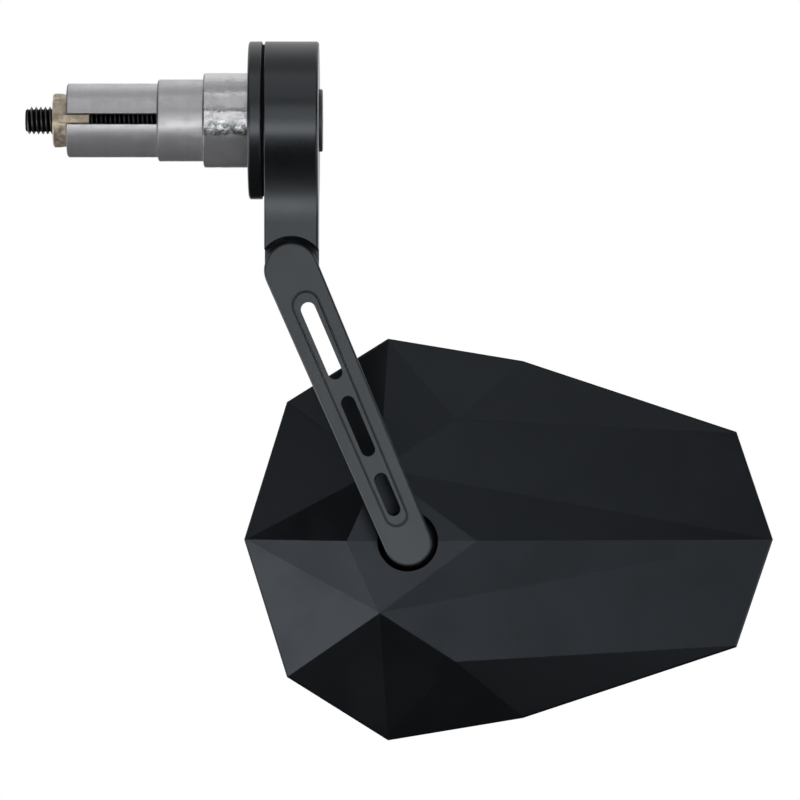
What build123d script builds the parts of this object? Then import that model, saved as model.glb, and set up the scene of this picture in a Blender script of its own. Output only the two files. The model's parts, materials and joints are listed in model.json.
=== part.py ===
from build123d import *
from math import acos, asin, cos, hypot, radians, sin, sqrt, tan
import os

# Bar end mirror for the left end of a handlebar, in millimetres.
# X runs outward along the bar axis, Z up, and the glass faces +Y, towards the rider.
# The origin is on the bar axis, at the face of the flange that meets the bar.

# Bar plug, on the X axis
collet_d = 16.1
collet_length = 39.4
collet_bore_clearance = 0.5
collet_slot_count = 4
collet_slot_width = 2.35
collet_slot_length = 26.0
inner_ring_d = 17.8
inner_ring_wall = 1.1
inner_ring_length = 9.9
outer_ring_d = 20.6
outer_ring_length = 9.8
plug_edge = 0.3
ring_fit = 0.02

# Flange ring and its friction washer
flange_thickness = 2.95
flange_edge = 0.6
flange_recess = 0.5
recess_fit = 0.05
groove_depth = 0.65
groove_edge = 0.25
friction_washer_thickness = 0.5

# Clamp bolt, washer and expander nut
bolt_d = 6.0
bolt_head_d = 10.0
bolt_head_height = 6.0
bolt_key_width = 5.0
bolt_key_depth = 3.0
bolt_end_chamfer = 0.8
bolt_end_reach = 6.05
bolt_washer_clearance = 0.1
bolt_washer_thickness = 0.8
bolt_hole_clearance = 0.3
thread_fit = 0.05
nut_d = 11.7
nut_length = 8.05
nut_stand = 3.05
nut_rim = 1.5
nut_edge = 0.3
cone_angle = 8.0
cone_fit = 0.05
nut_key_count = 2
nut_key_clearance = 0.35
nut_key_reach = 5.0
nut_key_depth = 0.75

# Mount head: a disc on the bar axis with a neck down to the knuckle
head_gap = 0.1
head_d = 34.3
head_thickness = 11.7
head_edge = 0.6
head_floor = 2.15
head_bore_d = 12.0
neck_front = 10.6
neck_rear = 2.4
front_blend = 24.0
rear_blend = 10.0
cap_d = 13.6
cap_height = 0.8
cap_edge = 0.35
cap_stub_length = 1.2
cap_fit = 0.05

# Knuckle: the arm's disc laps the neck's tongue in front
hinge_drop = 32.8
shoulder_gap = 1.5
arm_thickness = 5.6
hinge_disc_d = 10.8
hinge_disc_thickness = 0.4
hinge_disc_gap = 0.1
pivot_d = 6.0
pivot_fit = 0.05
pivot_thread_d = 4.0
pivot_thread_length = 4.0
pivot_head_d = 9.0
pivot_head_height = 2.3
pivot_head_clearance = 0.3
pivot_key_width = 3.0
pivot_key_depth = 1.4
wave_washer_thickness = 0.6

# Arm, from the knuckle down to the ball joint
arm_length = 63.75
arm_angle = 23.2
arm_top_r = 5.9
arm_end_r = 5.15
arm_edge = 0.5
inlay_top_r = 2.96
inlay_end_r = 2.42
inlay_start = 5.2
inlay_end_margin = 3.95
inlay_depth = 1.2
inlay_gap = 0.34
inlay_edge = 0.15
window_margin = 2.35
window_web = 4.15
window_lengths = (17.9, 13.9)
window_widths = (3.2, 3.06, 2.96)

# Ball joint at the arm's lower end, on an axis along Y
ball_d = 10.0
ball_neck_d = 4.8
stud_d = 5.0
stud_length = 4.2
stud_fit = 0.03
collar_d = 7.2
collar_height = 1.0
collar_gap = 0.05
seat_thickness = 2.0
seat_fit = 0.03
seat_split = 0.3
seat_front_cut = 2.2
seat_rear_cut = 2.1
neck_room = 1.3
socket_fit = 0.05
socket_undercut = 0.5
socket_lip = 2.4
socket_depth = 0.6
plate_thickness = 1.6
plate_dome_wall = 1.45
plate_dome_cut = 2.05
plate_screw_count = 4
plate_screw_room = 0.19
plate_border = 2.7
plate_screw_d = 2.4
plate_screw_length = 4.2
plate_screw_head_d = 4.8
plate_screw_head_height = 1.6
plate_screw_fit = 0.05
screw_post_d = 5.4
socket_wall = 2.5

# Mirror shell: corner places are measured from the ball joint's axis, as (x, z),
# and the heights from the plane of the outline's front edge
arm_gap = 4.0
tail = (-35.9, 0.0)
heel = (-26.5, 30.2)
crest = (-4.3, 44.1)
brow = (25.3, 39.2)
nose_corner = (72.2, 23.65)
nose = (80.2, 0.0)
ridge_tail = (-13.3, 0.0)
ridge_nose = (15.0, 0.0)
shoulder = (-6.1, 15.65)
flank = (10.45, 26.4)
ridge_tail_height = 14.0
ridge_nose_height = 10.9
shoulder_height = 12.5
outline_bevel = 0.4
shell_wall = 2.2
shell_side = 2.0
ledge_inset = 4.5
ledge_drop = 1.1

# Backing plate, pad and glass
glass_gap = 0.3
glass_radius = 1400.0
glass_thickness = 2.0
glass_apex_stand = 0.9
backing_thickness = 1.0
pad_thickness = 1.4
pad_inset = 6.0

# Sizes that follow from a neighbour on the bar axis
collet_seat_d = inner_ring_d - 2 * inner_ring_wall
collet_bore_d = bolt_d + 2 * collet_bore_clearance
nut_key_width = collet_slot_width - 2 * nut_key_clearance
flange_d = head_d
friction_washer_d = head_d - 2 * groove_depth
bolt_washer_d = head_bore_d - 2 * bolt_washer_clearance

# Places along the bar axis
head_left = flange_thickness + friction_washer_thickness + head_gap
head_right = head_left + head_thickness
bore_floor_x = head_left + head_floor
bolt_seat_x = bore_floor_x + bolt_washer_thickness
nut_left = -collet_length - nut_stand
rings_start = -outer_ring_length - inner_ring_length
bolt_tip_x = nut_left - bolt_end_reach

# Places across the knuckle and the arm, along Y
hinge_x = (head_left + head_right) / 2
hinge_z = -hinge_drop
arm_front = -neck_front
arm_back = arm_front + arm_thickness
tongue_front = arm_back + hinge_disc_thickness + hinge_disc_gap
pivot_seat_y = neck_rear - pivot_head_height
tongue_back = pivot_seat_y - wave_washer_thickness

# Sizes of the ball joint that follow from the ball
seat_r = ball_d / 2 + seat_thickness
seat_mouth_r = ball_neck_d / 2 + neck_room
socket_r = seat_r + socket_fit
socket_mouth_r = socket_r - socket_undercut
dome_r = socket_r + plate_dome_wall
dome_foot_r = sqrt(dome_r ** 2 - (socket_depth + plate_thickness) ** 2)
plate_dome_depth = socket_r - plate_dome_cut
plate_screw_circle_r = dome_foot_r + plate_screw_room + plate_screw_head_d / 2
plate_r = plate_screw_circle_r + plate_border

# Places of the ball joint and the shell
ball_x = hinge_x + arm_length * sin(radians(arm_angle))
ball_z = hinge_z - arm_length * cos(radians(arm_angle))
ridge_slope = (ridge_tail_height - ridge_nose_height) / (ridge_nose[0] - ridge_tail[0])
height_at_ball = ridge_tail_height + ridge_slope * ridge_tail[0]
shell_front_y = arm_back + arm_gap
ball_y = shell_front_y + socket_lip + sqrt(socket_r ** 2 - socket_mouth_r ** 2)
rim_front_y = shell_front_y + height_at_ball
ledge_y = rim_front_y + ledge_drop
glass_apex_y = ledge_y + backing_thickness + pad_thickness + glass_thickness
rim_back_y = glass_apex_y - glass_apex_stand
rim_depth = rim_back_y - rim_front_y


def rod_x(start, end, radius):
    """Round bar on the bar axis, between two places along X."""
    return Pos((start + end) / 2, 0, 0) * Rot(0, 90, 0) * Cylinder(radius, end - start)


def rod_y(x, z, start, end, radius):
    """Round bar along Y, between two places along Y."""
    return Pos(x, (start + end) / 2, z) * Rot(90, 0, 0) * Cylinder(radius, end - start)


def turned_x(corners):
    """Turned part on the bar axis, from the corners of its half section as (x, radius)."""
    return revolve(make_face(Polyline(*corners, close=True)), Axis.X)


def slab_y(x_low, x_high, y_low, y_high, z_low, z_high):
    """Plain block between two corners."""
    block = Box(x_high - x_low, y_high - y_low, z_high - z_low)
    return Pos((x_low + x_high) / 2, (y_low + y_high) / 2, (z_low + z_high) / 2) * block


def hex_x(start, depth, width):
    """Hexagon along +X, as wide across its flats as the key that fits it."""
    return extrude(Plane.YZ.offset(start) * RegularPolygon(width / 2, 6, major_radius=False), depth)


def hex_y(x, z, start, depth, width):
    """Hexagon along +Y, as wide across its flats as the key that fits it."""
    plane = Plane(origin=(x, start, z), x_dir=(1, 0, 0), z_dir=(0, 1, 0))
    return extrude(plane * RegularPolygon(width / 2, 6, major_radius=False), depth)


def cone_radius(x):
    """Radius of the nut's cone at a place along the bar axis."""
    return nut_d / 2 - (x - nut_left - nut_rim) * tan(radians(cone_angle))


def clamp_bolt():
    """Socket head bolt that draws the nut into the collet."""
    shank_r = bolt_d / 2
    head_r = bolt_head_d / 2
    head_end = bolt_seat_x + bolt_head_height
    bolt = turned_x([
        (bolt_tip_x, 0),
        (bolt_tip_x, shank_r - bolt_end_chamfer),
        (bolt_tip_x + bolt_end_chamfer, shank_r),
        (bolt_seat_x, shank_r),
        (bolt_seat_x, head_r),
        (head_end - plug_edge, head_r),
        (head_end, head_r - plug_edge),
        (head_end, 0),
    ])
    return bolt - hex_x(head_end - bolt_key_depth, bolt_key_depth, bolt_key_width)


def bolt_washer():
    """Plain washer under the bolt's head."""
    ring = rod_x(bore_floor_x, bolt_seat_x, bolt_washer_d / 2)
    return ring - rod_x(bore_floor_x, bolt_seat_x, bolt_d / 2 + bolt_hole_clearance)


def expander_nut():
    """Cone nut whose keys run in the collet's slots and keep it from turning."""
    right = nut_left + nut_length
    nut = turned_x([
        (nut_left, 0),
        (nut_left, nut_d / 2 - nut_edge),
        (nut_left + nut_edge, nut_d / 2),
        (nut_left + nut_rim, nut_d / 2),
        (right, cone_radius(right)),
        (right, 0),
    ])
    key_start = nut_left + nut_rim
    key_end = -collet_length + nut_key_reach
    key_top = collet_d / 2 - nut_key_depth
    key = slab_y(key_start, key_end, -key_top, 0, -nut_key_width / 2, nut_key_width / 2)
    for turn in range(nut_key_count):
        nut += Rot(turn * 360 / nut_key_count, 0, 0) * key
    return nut - rod_x(nut_left - 1, right + 1, bolt_d / 2 + thread_fit)


def collet_sleeve():
    """Slotted sleeve that the nut's cone spreads inside the handlebar."""
    mouth_r = cone_radius(-collet_length) + cone_fit
    bore_r = collet_bore_d / 2
    cone_end = -collet_length + (mouth_r - bore_r) / tan(radians(cone_angle))
    sleeve = turned_x([
        (-collet_length, mouth_r),
        (-collet_length, collet_d / 2 - plug_edge),
        (-collet_length + plug_edge, collet_d / 2),
        (rings_start, collet_d / 2),
        (rings_start, collet_seat_d / 2),
        (flange_recess, collet_seat_d / 2),
        (flange_recess, bore_r),
        (cone_end, bore_r),
    ])
    slot_end = -collet_length + collet_slot_length
    half = collet_slot_width / 2
    slot = slab_y(-collet_length - 1, slot_end - half, -collet_d, 0, -half, half)
    slot += Pos(slot_end - half, -collet_d / 2, 0) * Rot(90, 0, 0) * Cylinder(half, collet_d)
    for turn in range(collet_slot_count):
        sleeve -= Rot(turn * 360 / collet_slot_count, 0, 0) * slot
    return sleeve


def adapter_ring(start, end, outer_d):
    """Spacer ring on the collet's seat, for a wider handlebar."""
    ring = rod_x(start, end, outer_d / 2)
    ring = chamfer(ring.faces().sort_by(Axis.X)[0].edges(), plug_edge)
    return ring - rod_x(start - 1, end + 1, collet_seat_d / 2 + ring_fit)


def outer_adapter_ring():
    """Outer spacer ring, whose end is chamfered as deep as the flange's recess that takes it."""
    ring = adapter_ring(-outer_ring_length, flange_recess, outer_ring_d)
    rim = ring.faces().sort_by(Axis.X)[-1].outer_wire().edges()
    return chamfer(rim, flange_recess)


def flange_ring():
    """Black ring that meets the end of the handlebar, with a recess that centres the plug."""
    ring = rod_x(0, flange_thickness, flange_d / 2)
    ring = fillet(ring.faces().sort_by(Axis.X)[0].edges(), flange_edge)
    ring = fillet(ring.faces().sort_by(Axis.X)[-1].edges(), groove_edge)
    ring -= rod_x(-1, flange_recess, outer_ring_d / 2 + recess_fit)
    return ring - rod_x(-1, flange_thickness + 1, bolt_d / 2 + bolt_hole_clearance)


def friction_washer():
    """Washer in the groove between the flange and the head."""
    end = flange_thickness + friction_washer_thickness
    ring = rod_x(flange_thickness, end, friction_washer_d / 2)
    return ring - rod_x(flange_thickness - 1, end + 1, bolt_d / 2 + bolt_hole_clearance)


def blend_angle(face, blend):
    """Angle at which a blend of this radius leaves the disc and runs into a neck face."""
    return acos((face + blend) / (head_d / 2 + blend))


def head_side_profile():
    """Side view of the head: the disc, the neck and the blends between them, as (y, z)."""
    disc_r = head_d / 2
    front_angle = blend_angle(neck_front, front_blend)
    rear_angle = blend_angle(neck_rear, rear_blend)
    front_z = -(disc_r + front_blend) * sin(front_angle)
    rear_z = -(disc_r + rear_blend) * sin(rear_angle)
    bottom = hinge_z - head_thickness / 2 - 1
    front_start = (-disc_r * cos(front_angle), -disc_r * sin(front_angle))
    front_mid = (
        -neck_front - front_blend + front_blend * cos(front_angle / 2),
        front_z + front_blend * sin(front_angle / 2),
    )
    rear_end = (disc_r * cos(rear_angle), -disc_r * sin(rear_angle))
    rear_mid = (
        neck_rear + rear_blend - rear_blend * cos(rear_angle / 2),
        rear_z + rear_blend * sin(rear_angle / 2),
    )
    outline = ThreePointArc(front_start, front_mid, (-neck_front, front_z))
    outline += Line((-neck_front, front_z), (-neck_front, bottom))
    outline += Line((-neck_front, bottom), (neck_rear, bottom))
    outline += Line((neck_rear, bottom), (neck_rear, rear_z))
    outline += ThreePointArc((neck_rear, rear_z), rear_mid, rear_end)
    outline += ThreePointArc(rear_end, (0, disc_r), front_start)
    return make_face(outline)


def mount_head():
    """Head that turns on the bar axis and carries the knuckle's tongue."""
    head = extrude(Plane.YZ.offset(head_left) * head_side_profile(), head_thickness)
    head = fillet(head.faces().sort_by(Axis.X)[0].edges(), groove_edge)
    head = fillet(head.faces().sort_by(Axis.X)[-1].edges(), head_edge)
    half = head_thickness / 2
    low = hinge_z - 2 * half
    below = slab_y(head_left - 1, head_right + 1, -head_d, head_d, low, hinge_z)
    below -= rod_y(hinge_x, hinge_z, -head_d, head_d, half)
    pocket = slab_y(head_left - 1, head_right + 1, -head_d, tongue_front, low, hinge_z)
    pocket += rod_y(hinge_x, hinge_z, -head_d, tongue_front, arm_top_r + shoulder_gap)
    head -= below
    head -= pocket
    head -= rod_x(head_left - 1, head_right, bolt_d / 2 + bolt_hole_clearance)
    head -= rod_x(bore_floor_x, head_right + 1, head_bore_d / 2)
    head -= rod_y(hinge_x, hinge_z, tongue_front - 1, neck_rear + 1, pivot_d / 2 + pivot_fit)
    counterbore_r = pivot_head_d / 2 + pivot_head_clearance
    return head - rod_y(hinge_x, hinge_z, tongue_back, neck_rear + 1, counterbore_r)


def end_cap():
    """Domed cap that hides the bolt, with a stub pressed in the head's bore."""
    cap = rod_x(head_right, head_right + cap_height, cap_d / 2)
    cap = fillet(cap.faces().sort_by(Axis.X)[-1].edges(), cap_edge)
    return cap + rod_x(head_right - cap_stub_length, head_right, head_bore_d / 2 - cap_fit)


def hinge_screw():
    """Shoulder screw through the tongue, with its thread in the back of the arm."""
    head_end = pivot_seat_y + pivot_head_height
    screw = rod_y(hinge_x, hinge_z, pivot_seat_y, head_end, pivot_head_d / 2)
    screw += rod_y(hinge_x, hinge_z, arm_back, pivot_seat_y, pivot_d / 2)
    thread_end = arm_back - pivot_thread_length
    screw += rod_y(hinge_x, hinge_z, thread_end, arm_back, pivot_thread_d / 2)
    key_start = head_end - pivot_key_depth
    return screw - hex_y(hinge_x, hinge_z, key_start, pivot_key_depth, pivot_key_width)


def hinge_friction_disc():
    """Thin disc that keeps the arm's back off the tongue."""
    end = arm_back + hinge_disc_thickness
    disc = rod_y(hinge_x, hinge_z, arm_back, end, hinge_disc_d / 2)
    return disc - rod_y(hinge_x, hinge_z, arm_back - 1, end + 1, pivot_d / 2 + pivot_fit)


def hinge_wave_washer():
    """Spring washer under the shoulder screw's head."""
    ring = rod_y(hinge_x, hinge_z, tongue_back, pivot_seat_y, pivot_head_d / 2)
    return ring - rod_y(hinge_x, hinge_z, tongue_back - 1, pivot_seat_y + 1, pivot_d / 2 + pivot_fit)


def arm_plane(y):
    """Drawing plane of the arm: its y runs from the knuckle to the ball, its normal is +Y."""
    lean = radians(arm_angle)
    return Plane(origin=(hinge_x, y, hinge_z), x_dir=(cos(lean), 0, sin(lean)), z_dir=(0, 1, 0))


def tapered_outline(start, start_r, end, end_r):
    """Round-ended bar along the arm, between two centres with a radius each."""
    taper = asin((start_r - end_r) / (end - start))
    side = [
        (start_r * cos(taper), start + start_r * sin(taper)),
        (end_r * cos(taper), end + end_r * sin(taper)),
    ]
    corners = side + [(-x, y) for x, y in reversed(side)]
    outline = Pos(0, start) * Circle(start_r) + Pos(0, end) * Circle(end_r)
    return outline + make_face(Polyline(*corners, close=True))


def inlay_outline(margin):
    """Outline of the inlay, or of its pocket, grown by a margin."""
    start = inlay_start + inlay_top_r
    end = arm_length - inlay_end_margin - inlay_end_r
    return tapered_outline(start, inlay_top_r + margin, end, inlay_end_r + margin)


def arm_windows():
    """Three round-ended windows through the arm and its inlay."""
    first = inlay_start + window_margin
    last = arm_length - inlay_end_margin - window_margin
    starts = [first]
    for length in window_lengths:
        starts.append(starts[-1] + length + window_web)
    ends = [start + length for start, length in zip(starts, window_lengths)] + [last]
    windows = Part()
    for start, end, width in zip(starts, ends, window_widths):
        outline = tapered_outline(start + width / 2, width / 2, end - width / 2, width / 2)
        windows += extrude(arm_plane(arm_front - 1) * outline, arm_thickness + 2)
    return windows


def arm():
    """Flat tapered arm between the knuckle and the ball joint."""
    outline = tapered_outline(0, arm_top_r, arm_length, arm_end_r)
    bar = extrude(arm_plane(arm_front) * outline, arm_thickness)
    faces = bar.faces().filter_by(Axis.Y)
    bar = fillet(faces[0].edges() + faces[-1].edges(), arm_edge)
    bar -= extrude(arm_plane(arm_front - 1) * inlay_outline(inlay_gap / 2), inlay_depth + 1)
    bar -= arm_windows()
    thread_end = arm_back - pivot_thread_length
    bar -= rod_y(hinge_x, hinge_z, thread_end, arm_back + 1, pivot_thread_d / 2 + thread_fit)
    stud_end = arm_back - stud_length
    return bar - rod_y(ball_x, ball_z, stud_end, arm_back + 1, stud_d / 2 + stud_fit)


def arm_inlay():
    """Inlay that lies flush in the arm's front face, around the windows."""
    strip = extrude(arm_plane(arm_front) * inlay_outline(-inlay_gap / 2), inlay_depth)
    strip = chamfer(strip.faces().sort_by(Axis.Y)[0].edges(), inlay_edge)
    return strip - arm_windows()


def ball_stud():
    """Ball on a short neck, with a collar on the arm's back and a shank in its hole."""
    collar_start = arm_back + collar_gap
    neck_start = collar_start + collar_height
    stud = rod_y(ball_x, ball_z, collar_start, neck_start, collar_d / 2)
    shank_end = arm_back - stud_length + collar_gap
    stud += rod_y(ball_x, ball_z, shank_end, collar_start, stud_d / 2)
    stud += rod_y(ball_x, ball_z, neck_start, ball_y, ball_neck_d / 2)
    return stud + Pos(ball_x, ball_y, ball_z) * Sphere(ball_d / 2)


def seat_ring(start, end):
    """Slice of the hollow sphere between the ball and its socket, as seen from the ball."""
    inside = Sphere(ball_d / 2 + seat_fit)
    ring = (Sphere(seat_r) - inside) & slab_y(-seat_r, seat_r, start, end, -seat_r, seat_r)
    return Pos(ball_x, ball_y, ball_z) * ring


def front_ball_seat():
    """Seat in front of the ball, which shows as a ring round the neck."""
    seat = seat_ring(seat_front_cut - seat_r, -seat_split)
    mouth = rod_y(ball_x, ball_z, ball_y - seat_r, ball_y - seat_split, seat_mouth_r)
    return seat - mouth


def rear_ball_seat():
    """Cup behind the ball."""
    return seat_ring(seat_split, seat_r - seat_rear_cut)


def plate_screw_places():
    """Centres of the socket plate's screws, as (x, z)."""
    places = []
    for turn in range(plate_screw_count):
        angle = radians(45 + turn * 360 / plate_screw_count)
        x = ball_x + plate_screw_circle_r * cos(angle)
        z = ball_z + plate_screw_circle_r * sin(angle)
        places.append((x, z))
    return places


def socket_plate():
    """Pressed plate that holds the rear seat, with a domed middle."""
    start = ball_y + socket_depth
    flange = rod_y(ball_x, ball_z, start, start + plate_thickness, plate_r)
    dome_end = plate_dome_depth + plate_dome_wall * plate_dome_depth / socket_r
    slab = slab_y(-dome_r, dome_r, socket_depth, dome_end, -dome_r, dome_r)
    dome = Pos(ball_x, ball_y, ball_z) * (Sphere(dome_r) & slab)
    mouth_r = sqrt(socket_r ** 2 - plate_dome_depth ** 2)
    plate = flange + dome
    plate -= Pos(ball_x, ball_y, ball_z) * Sphere(socket_r)
    plate -= rod_y(ball_x, ball_z, ball_y, ball_y + dome_r, mouth_r)
    for x, z in plate_screw_places():
        hole_r = plate_screw_d / 2 + plate_screw_fit
        plate -= rod_y(x, z, start - 1, start + plate_thickness + 1, hole_r)
    return plate


def socket_screws():
    """Four pan head screws of the socket plate."""
    seat = ball_y + socket_depth + plate_thickness
    head_end = seat + plate_screw_head_height
    screws = Part()
    for x, z in plate_screw_places():
        screw = rod_y(x, z, seat, head_end, plate_screw_head_d / 2)
        screw = fillet(screw.faces().sort_by(Axis.Y)[-1].edges(), plate_screw_head_height / 3)
        screws += screw + rod_y(x, z, seat - plate_screw_length, seat, plate_screw_d / 2)
    return screws


def mirrored(point):
    """The same corner below the shell's middle line."""
    return (point[0], -point[1])


def outline_corners():
    """The shell's outline as ten corners, once round from the tail."""
    upper = [tail, heel, crest, brow, nose_corner, nose]
    return upper + [mirrored(point) for point in reversed(upper[1:-1])]


def inward(start, end):
    """Unit step into the shell from one side of its outline."""
    run = hypot(end[0] - start[0], end[1] - start[1])
    return ((end[1] - start[1]) / run, (start[0] - end[0]) / run)


def inset_outline(inset):
    """The outline moved inward by the same distance along each side."""
    corners = outline_corners()
    moved = []
    for before, here, after in zip(corners[-1:] + corners[:-1], corners, corners[1:] + corners[:1]):
        first = inward(before, here)
        second = inward(here, after)
        reach = inset / (1 + first[0] * second[0] + first[1] * second[1])
        moved.append((here[0] + reach * (first[0] + second[0]), here[1] + reach * (first[1] + second[1])))
    return moved


def at_height(point, height):
    """A corner of the shell in the part's own frame."""
    return Vector(ball_x + point[0], rim_front_y - height, ball_z + point[1])


def flank_height(edge_start, edge_end):
    """Height of the flank corner that keeps the panel down to the nose flat."""
    across = inward(edge_start, edge_end)
    flank_reach = (flank[0] - edge_end[0]) * across[0] + (flank[1] - edge_end[1]) * across[1]
    top_reach = (shoulder[0] - edge_end[0]) * across[0] + (shoulder[1] - edge_end[1]) * across[1]
    return shoulder_height * flank_reach / top_reach


def upper_facets(edge):
    """Facets above the middle line, as lists of (corner, height)."""
    low_tail, low_heel, low_crest, low_brow, low_nose_corner, low_nose = edge[:6]
    flank_top = (flank, flank_height(low_nose_corner, low_nose))
    shoulder_top = (shoulder, shoulder_height)
    tail_top = (ridge_tail, ridge_tail_height)
    nose_top = (ridge_nose, ridge_nose_height)
    return [
        [(low_tail, 0), tail_top, shoulder_top],
        [(low_tail, 0), (low_heel, 0), shoulder_top],
        [(low_heel, 0), (low_crest, 0), shoulder_top],
        [shoulder_top, (low_crest, 0), flank_top],
        [flank_top, (low_crest, 0), (low_brow, 0)],
        [flank_top, (low_brow, 0), (low_nose_corner, 0)],
        [shoulder_top, flank_top, (low_nose_corner, 0), (low_nose, 0)],
        [shoulder_top, (low_nose, 0), nose_top],
        [tail_top, nose_top, shoulder_top],
    ]


def faceted_body():
    """The shell's outer form as one closed solid: facets, bevelled edge, rim and back."""
    edge = inset_outline(outline_bevel)
    full = inset_outline(0)
    polygons = []
    for facet in upper_facets(edge):
        polygons.append(facet)
        polygons.append([(mirrored(point), height) for point, height in facet])
    count = len(full)
    for i in range(count):
        j = (i + 1) % count
        polygons.append([(edge[i], 0), (edge[j], 0), (full[j], -outline_bevel), (full[i], -outline_bevel)])
        polygons.append([
            (full[i], -outline_bevel),
            (full[j], -outline_bevel),
            (full[j], -rim_depth),
            (full[i], -rim_depth),
        ])
    polygons.append([(point, -rim_depth) for point in full])
    faces = [Face(Wire.make_polygon([at_height(p, h) for p, h in corners])) for corners in polygons]
    return Part() + Solid(Shell(faces))


def outline_slab(inset, y_low, y_high):
    """Slab with the shell's outline moved inward, between two places along Y."""
    corners = [at_height(point, rim_front_y - y_low) for point in inset_outline(inset)]
    return extrude(Face(Wire.make_polygon(corners)), y_high - y_low, dir=(0, 1, 0))


def glass_sphere(depth):
    """Sphere of the glass's curve, this far below its front surface."""
    middle_x = ball_x + (tail[0] + nose[0]) / 2
    centre_y = glass_apex_y - glass_radius
    return Pos(middle_x, centre_y, ball_z) * Sphere(glass_radius - depth)


def mirror_shell():
    """Faceted shell with the ball's socket and a pocket for the glass."""
    outer = faceted_body()
    cavity = Pos(0, shell_wall, 0) * outer
    cavity &= outline_slab(ledge_inset, rim_front_y - ridge_tail_height, ledge_y)
    socket_back = ball_y + socket_depth
    post_start = rim_front_y - ridge_tail_height
    socket_block = rod_y(ball_x, ball_z, post_start, socket_back, socket_r + socket_wall)
    for x, z in plate_screw_places():
        socket_block += rod_y(x, z, post_start, socket_back, screw_post_d / 2)
    shell = outer - (cavity - socket_block)
    shell -= outline_slab(shell_side, ledge_y, rim_back_y + 1)
    shell -= Pos(ball_x, ball_y, ball_z) * Sphere(socket_r)
    shell -= rod_y(ball_x, ball_z, ball_y, socket_back + 1, socket_r)
    shell -= rod_y(ball_x, ball_z, post_start - 1, ball_y, socket_mouth_r)
    hole_depth = plate_screw_length - plate_thickness + plate_screw_fit
    for x, z in plate_screw_places():
        hole_r = plate_screw_d / 2 + plate_screw_fit
        shell -= rod_y(x, z, socket_back - hole_depth, socket_back + 1, hole_r)
    return shell


def backing_plate():
    """Flat plate on the shell's ledge, which carries the pad."""
    return outline_slab(shell_side + glass_gap, ledge_y, ledge_y + backing_thickness)


def adhesive_pad():
    """Foam pad that fills the space between the flat plate and the curved glass."""
    blank = outline_slab(pad_inset, ledge_y + backing_thickness, rim_back_y + 2)
    return blank & glass_sphere(glass_thickness)


def mirror_glass():
    """Bent glass, convex towards the rider."""
    blank = outline_slab(shell_side + glass_gap, ledge_y, rim_back_y + 2)
    return (blank & glass_sphere(0)) - glass_sphere(glass_thickness)


def build_all():
    """Make every piece and write each to its own file."""
    pieces = {
        "clamp_bolt": clamp_bolt(),
        "bolt_washer": bolt_washer(),
        "expander_nut": expander_nut(),
        "collet_sleeve": collet_sleeve(),
        "adapter_ring_inner": adapter_ring(rings_start, -outer_ring_length, inner_ring_d),
        "adapter_ring_outer": outer_adapter_ring(),
        "flange_ring": flange_ring(),
        "friction_washer": friction_washer(),
        "mount_head": mount_head(),
        "end_cap": end_cap(),
        "hinge_screw": hinge_screw(),
        "hinge_friction_disc": hinge_friction_disc(),
        "hinge_wave_washer": hinge_wave_washer(),
        "arm": arm(),
        "arm_inlay": arm_inlay(),
        "ball_stud": ball_stud(),
        "front_ball_seat": front_ball_seat(),
        "rear_ball_seat": rear_ball_seat(),
        "socket_plate": socket_plate(),
        "socket_screws": socket_screws(),
        "mirror_shell": mirror_shell(),
        "backing_plate": backing_plate(),
        "adhesive_pad": adhesive_pad(),
        "mirror_glass": mirror_glass(),
    }
    os.makedirs("parts", exist_ok=True)
    for name, piece in pieces.items():
        export_step(piece, f"parts/{name}.step")


build_all()
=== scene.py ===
import json
from math import cos, pi, radians, sin, tan

import bmesh
import bpy
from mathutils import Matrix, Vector


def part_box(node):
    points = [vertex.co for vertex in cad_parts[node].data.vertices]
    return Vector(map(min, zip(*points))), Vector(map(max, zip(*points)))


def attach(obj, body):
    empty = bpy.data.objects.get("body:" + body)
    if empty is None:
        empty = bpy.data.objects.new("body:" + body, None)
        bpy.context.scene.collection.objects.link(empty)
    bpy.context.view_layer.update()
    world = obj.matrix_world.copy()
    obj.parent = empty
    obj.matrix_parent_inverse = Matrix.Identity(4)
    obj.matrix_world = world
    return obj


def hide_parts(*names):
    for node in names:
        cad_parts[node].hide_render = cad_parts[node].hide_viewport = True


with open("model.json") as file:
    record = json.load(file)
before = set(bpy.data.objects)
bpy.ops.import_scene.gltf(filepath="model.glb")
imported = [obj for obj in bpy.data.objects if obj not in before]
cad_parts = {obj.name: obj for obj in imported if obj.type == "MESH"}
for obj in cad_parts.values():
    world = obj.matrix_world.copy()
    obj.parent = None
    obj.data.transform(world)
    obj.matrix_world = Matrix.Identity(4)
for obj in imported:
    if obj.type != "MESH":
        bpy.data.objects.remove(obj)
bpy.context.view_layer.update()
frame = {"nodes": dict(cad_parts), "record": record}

# The view of the photograph
picture_width = 800
pixels_per_metre = 4600
camera_distance = 1.2
picture_middle = Vector((0.03283, 0.0, -0.06076))
sensor_width = 36.0

# The studio's world: how far up its white turns grey and then darker, and how far back it begins
white = (1.0, 1.0, 1.0)
black = (0.0, 0.0, 0.0)
sky_grey = (0.72, 0.72, 0.72)
sky_from, sky_to = 0.05, 0.35
overhead_grey = (0.15, 0.15, 0.15)
overhead_from, overhead_to = 0.84, 0.98
behind_from, behind_to = -0.15, 0.35

# The studio's floor, and the flag under the object
floor_height = -0.50
floor_width = 6.0
floor_grey = (0.8, 0.8, 0.8)
floor_glow = 0.72
flag_height = -0.47
flag_front = -1.35
flag_back = 1.90
flag_half_width = 0.95
flag_fade = 0.45
flag_black = (0.004, 0.004, 0.004)
flag_glow = (0.02, 0.02, 0.02)

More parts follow.
